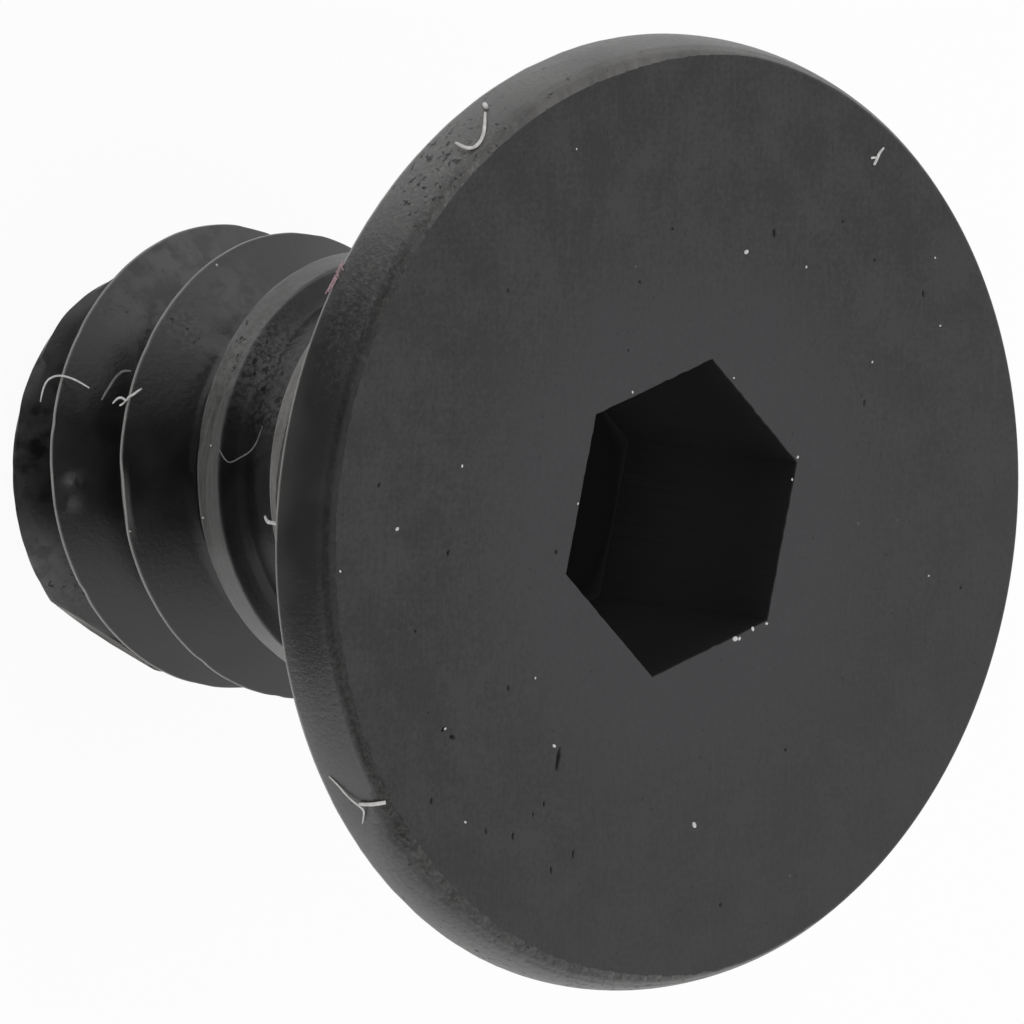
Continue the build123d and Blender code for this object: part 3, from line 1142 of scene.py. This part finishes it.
# %% A tuft of fluff under the rim
# Each thread of the tuft: the angle and height of its two ends.
tuft = [(128.7, 5.612, 130.9, 5.636), (129.2, 5.600, 131.6, 5.640), (129.9, 5.640, 132.3, 5.606),
        (130.6, 5.606, 133.0, 5.622), (128.9, 5.648, 130.4, 5.604), (131.2, 5.630, 133.3, 5.600),
        (130.2, 5.598, 131.0, 5.668), (129.4, 5.622, 130.1, 5.676), (131.8, 5.604, 132.4, 5.650),
        (130.8, 5.650, 132.6, 5.634)]
fluff = []
for start, low, end, high in tuft:
    fluff.append(fibre("fluff", 0.009, [
        (head_radius, start, low),
        (head_radius + 0.014, (start + end) / 2, (low + high) / 2 + 0.012),
        (head_radius + 0.004, end, high)]))
print("a tuft of", len(fluff))

# %% The look of lint
def plain_finish(name, colour, roughness):
    """A finish for fluff and dust: a colour with small clouds in it."""
    material = bpy.data.materials.new(name)
    material.use_nodes = True
    shader = material.node_tree.nodes["Principled BSDF"]
    uneven = clouds(material, millimetres(material), per_mm=20)
    darker = tuple(0.7 * c for c in colour)
    tone = blend_colour(material, ramp(material, uneven, 0.3, 0.7), darker, colour)
    material.node_tree.links.new(tone, shader.inputs["Base Color"])
    shader.inputs["Roughness"].default_value = roughness
    return material


pale_lint = plain_finish("pale_lint", (0.62, 0.61, 0.60), 0.8)
grey_lint = plain_finish("grey_lint", (0.16, 0.16, 0.16), 0.8)
pink_lint = plain_finish("pink_lint", (0.40, 0.27, 0.30), 0.8)
for piece in head_lint + shank_lint:
    piece.data.materials.append(grey_lint if piece.name in ("faint", "hair") else pale_lint)
for piece in fluff:
    piece.data.materials.append(pink_lint)
lint = join_as("lint", head_lint + shank_lint + fluff)
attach(lint, "root")

# %% [markdown]
# ## Dust
#
# A speck of dust is a crumb, not a ball. Each one starts as a small ball of
# triangles. Its points are pushed in and out, and then it is squashed and turned.

# %% Specks of dust
# Each speck: distance from the axis, angle, size in millimetres.
face_specks = [
    (1.968, 56.2, 0.045), (2.098, 39.5, 0.022), (3.001, 18.9, 0.020), (2.797, 9.8, 0.020),
    (2.099, 12.4, 0.020), (2.233, 257.5, 0.050), (1.052, 283.7, 0.052), (1.075, 285.6, 0.030),
    (1.100, 293.0, 0.036), (1.170, 299.0, 0.028), (1.020, 154.0, 0.020), (1.058, 101.5, 0.022),
    (1.090, 47.3, 0.018), (1.175, 1.7, 0.026), (1.085, 354.6, 0.022), (1.964, 215.7, 0.034),
    (2.615, 194.6, 0.024), (1.745, 200.6, 0.020), (2.878, 208.4, 0.024), (2.712, 161.4, 0.036),
    (2.168, 150.0, 0.024), (3.240, 166.4, 0.022), (2.50, 330.0, 0.018), (2.90, 95.0, 0.018)]
# On the shank: angle, height, size.
shank_specks = [
    (98.8, 1.774, 0.024), (171.5, 2.62, 0.022), (151.8, 2.658, 0.018), (144.2, 2.42, 0.02),
    (176.2, 1.932, 0.018), (112, 2.05, 0.018)]
speck_rise = 0.006
lumps = 78


def speck(number, place, size, flatness):
    """A crumb of dust of about the given size, in millimetres, squashed against the surface."""
    bpy.ops.object.select_all(action="DESELECT")
    bpy.ops.mesh.primitive_ico_sphere_add(subdivisions=2, radius=size / 2000, location=place)
    crumb = bpy.context.object
    for vertex in crumb.data.vertices:
        uneven = noise.noise(vertex.co * lumps / size + Vector((number, 0, 0)))
        vertex.co *= 1 + 0.35 * uneven
    crumb.rotation_euler = (0, 0, number)
    crumb.scale = (1.0, 0.7, flatness)
    bpy.ops.object.transform_apply(location=True, rotation=True, scale=True)
    return crumb


def on_shank_at(degrees, level):
    """A place on the rolled surface, in metres."""
    surface = thread_surface(np.radians([degrees]), np.array([level]))
    return at(float(surface[0]), degrees, level)


crumbs = [speck(number, at(distance, degrees, face_height), size, 2 * speck_rise / size)
          for number, (distance, degrees, size) in enumerate(face_specks)]
crumbs += [speck(30 + number, on_shank_at(degrees, level), size, 0.7)
           for number, (degrees, level, size) in enumerate(shank_specks)]
dust = join_as("dust", crumbs)
dust.data.materials.append(pale_lint)
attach(dust, "root")

# %% [markdown]
# ## Floor, light and the dark front
#
# The screw stands on plain white paper in a light tent: white all round, with no
# hard lamp. Black steel shows only what it reflects, so a tent alone leaves it
# flat. The front of the tent is left open and dark, and that dark shape, seen in
# the rim and the thread, is what makes them look round. Here it is a bent card
# between the screw and the camera, which the camera does not see.

# %% The floor
bpy.ops.object.select_all(action="DESELECT")
bpy.ops.mesh.primitive_plane_add(size=4, location=(0, 0, 0))
floor = bpy.context.object
floor.name = "floor"
paper = bpy.data.materials.new("paper")
paper.use_nodes = True
shader = paper.node_tree.nodes["Principled BSDF"]
shader.inputs["Base Color"].default_value = (0.8, 0.8, 0.8, 1)
shader.inputs["Roughness"].default_value = 0.9
white = add_node(paper, "Emission", {}, {"Color": (1, 1, 1, 1)})
ray = add_node(paper, "LightPath").outputs
seen = calculate(paper, "ADD", ray["Is Camera Ray"], ray["Is Glossy Ray"])
seen = calculate(paper, "ADD", seen, ray["Is Transmission Ray"])
whiteness = 0.94
share = weaken(paper, calculate(paper, "MINIMUM", seen, 1.0), whiteness)
lit_and_white = add_node(paper, "MixShader", {}, {0: share, 1: shader.outputs["BSDF"],
                                                  2: white.outputs["Emission"]})
output = paper.node_tree.nodes["Material Output"]
paper.node_tree.links.new(lit_and_white.outputs["Shader"], output.inputs["Surface"])
floor.data.materials.append(paper)
print("floor", floor.dimensions.x, "m wide")

# %% The tent
tent = bpy.data.worlds.new("tent")
bpy.context.scene.world = tent
tent.use_nodes = True
background = tent.node_tree.nodes["Background"].inputs
background["Color"].default_value = (1, 1, 1, 1)
background["Strength"].default_value = 1.0
bpy.context.scene.view_settings.view_transform = "Standard"
print("tent lit at strength", background["Strength"].default_value)

# %% The dark front
front_angle = 154
front_spread = 80
dark_front = start_mesh("dark_front")
card_outline = [(3.6, 0.03), (7, 0.6), (11, 4), (14, 14), (16, 34)]
to_point(dark_front, *card_outline[0])
for place in card_outline[1:]:
    draw_to(dark_front, *place)
bpy.ops.mesh.select_all(action="SELECT")
bpy.ops.mesh.spin(steps=24, angle=math.radians(front_spread), center=(0, 0, 0), axis=(0, 0, 1))
bpy.ops.object.mode_set(mode="OBJECT")
radius, angle, height = read_points(dark_front)
middle = np.angle(np.exp(1j * angle).mean())
write_points(dark_front, radius, angle - middle + math.radians(front_angle), height)
dark_front.visible_camera = dark_front.visible_diffuse = dark_front.visible_shadow = False
dark_front.visible_transmission = dark_front.visible_volume_scatter = False
felt = plain_finish("dark_felt", (0.12, 0.12, 0.12), 1.0)
felt.node_tree.nodes["Principled BSDF"].inputs["Specular IOR Level"].default_value = 0
dark_front.data.materials.append(felt)
print("dark front", front_spread, "degrees wide")
